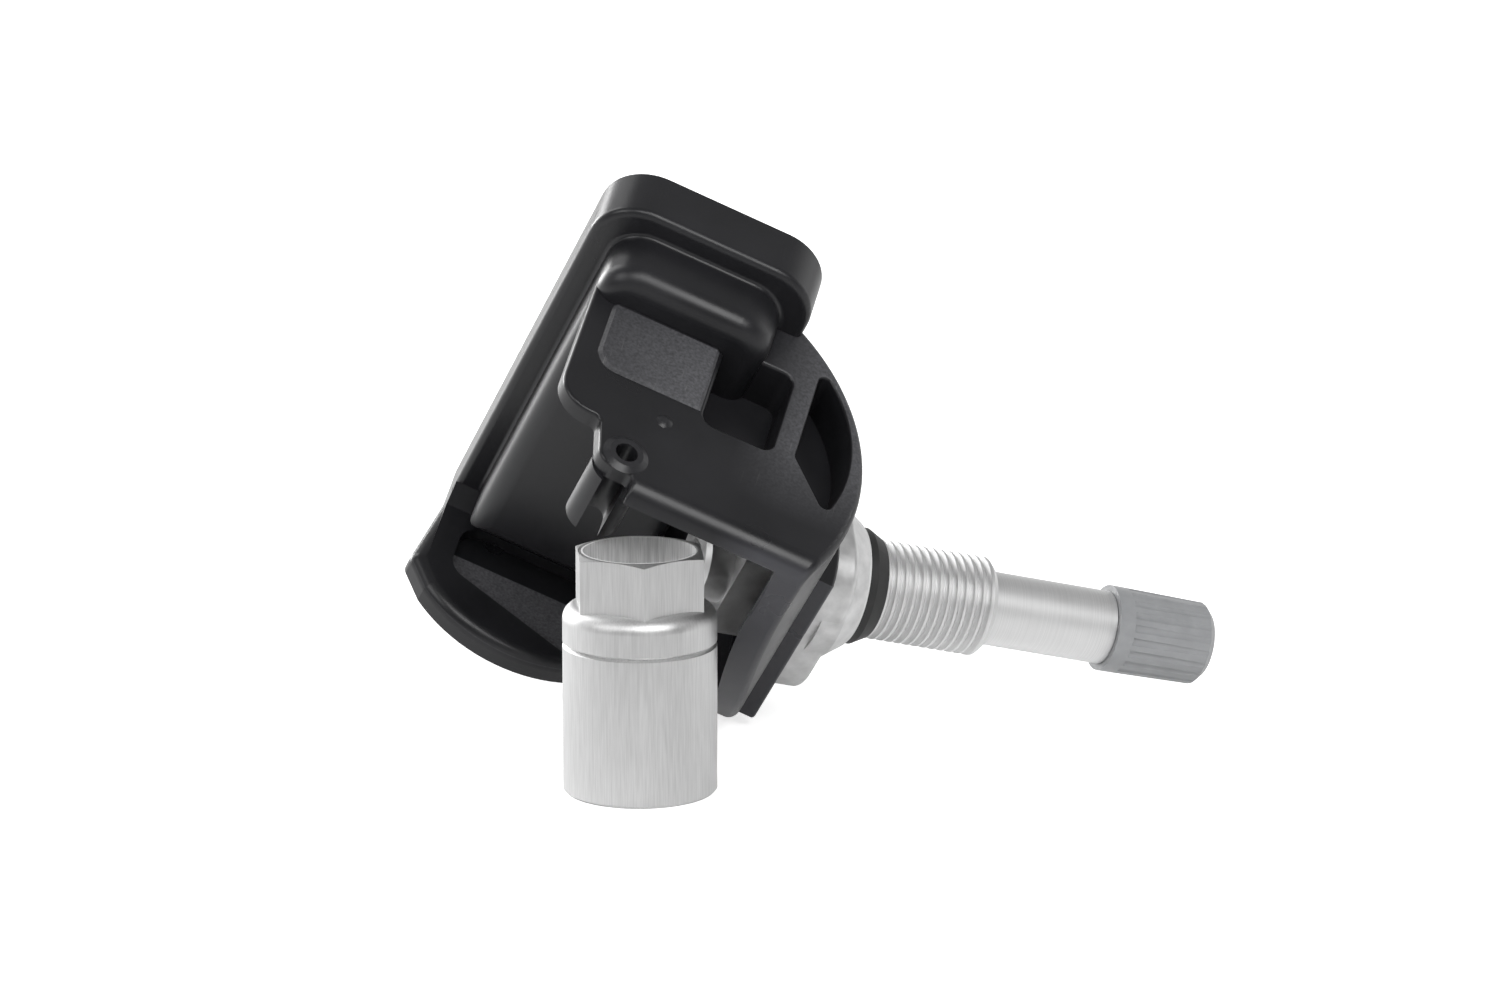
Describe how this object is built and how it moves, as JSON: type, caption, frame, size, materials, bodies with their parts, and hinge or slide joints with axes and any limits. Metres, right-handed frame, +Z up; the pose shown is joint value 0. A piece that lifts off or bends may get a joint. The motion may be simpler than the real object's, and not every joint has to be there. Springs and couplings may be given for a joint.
{
  "type": "tyre pressure sensor",
  "caption": "Wheel-mounted tyre pressure sensor: moulded housing with a curved cradle, tilting clamp-in metal valve stem with dust cap, and its loose hexagon sleeve nut.",
  "frame": {"origin": "middle of the part's bounding box, on the floor that it lies on", "axes": "+Z up, +X along the way the valve stem points, +Y away from the viewer"},
  "size_m": [0.088, 0.0598, 0.0601],
  "materials": {
    "black_plastic": "glass-filled moulding, satin",
    "white_membrane": "porous film",
    "board_green": "solder mask",
    "steel": "plain",
    "chip_black": "moulded",
    "ferrite": "sintered",
    "ceramic_tan": "fired",
    "nut_aluminium": "turned, brushed along its length",
    "cast_aluminium": "as cast",
    "washer_white": "smooth",
    "black_rubber": "moulded",
    "stem_aluminium": "turned",
    "brass": "turned",
    "grey_plastic": "moulded"
  },
  "bodies": {
    "sensor_body": {"housing": "black_plastic", "back_cover": "black_plastic", "port_filter": "white_membrane", "circuit_board": "board_green", "battery_cell": "steel", "battery_tab_top": "steel", "battery_tab_bottom": "steel", "sensor_chip": "chip_black", "antenna_coil": "ferrite", "crystal": "steel", "chip_capacitors": "ceramic_tan", "clamp_nut": "nut_aluminium"},
    "stem": {"valve_stem": "stem_aluminium", "stem_collar": "cast_aluminium", "seal_washer": "washer_white", "grommet": "black_rubber", "stem_screw": "steel", "saddle": "steel", "core_body": "brass", "core_seal": "black_rubber", "core_spring": "steel"},
    "pin": {"core_pin": "brass", "core_cup": "black_rubber"},
    "cap": {"valve_cap": "grey_plastic", "cap_seal": "black_rubber"}
  },
  "joints": [
    {"name": "stem_tilt", "type": "hinge", "parent": "sensor_body", "child": "stem", "pos_m": [-0.0261, -0.00437, 0.0226], "axis": [0.364, -0.5357, 0.7619], "range_deg": [-10, 10]},
    {"name": "pin_press", "type": "slide", "parent": "stem", "child": "pin", "axis": [-0.9259, -0.2971, 0.2335], "range_m": [0, 0.001], "stiffness_N_per_m": 300, "springref_m": -0.002},
    {"name": "cap_turn", "type": "hinge", "parent": "stem", "child": "cap", "pos_m": [0.03167, 0.01417, 0.00803], "axis": [0.9259, 0.2971, -0.2335], "continuous": true}
  ]
}
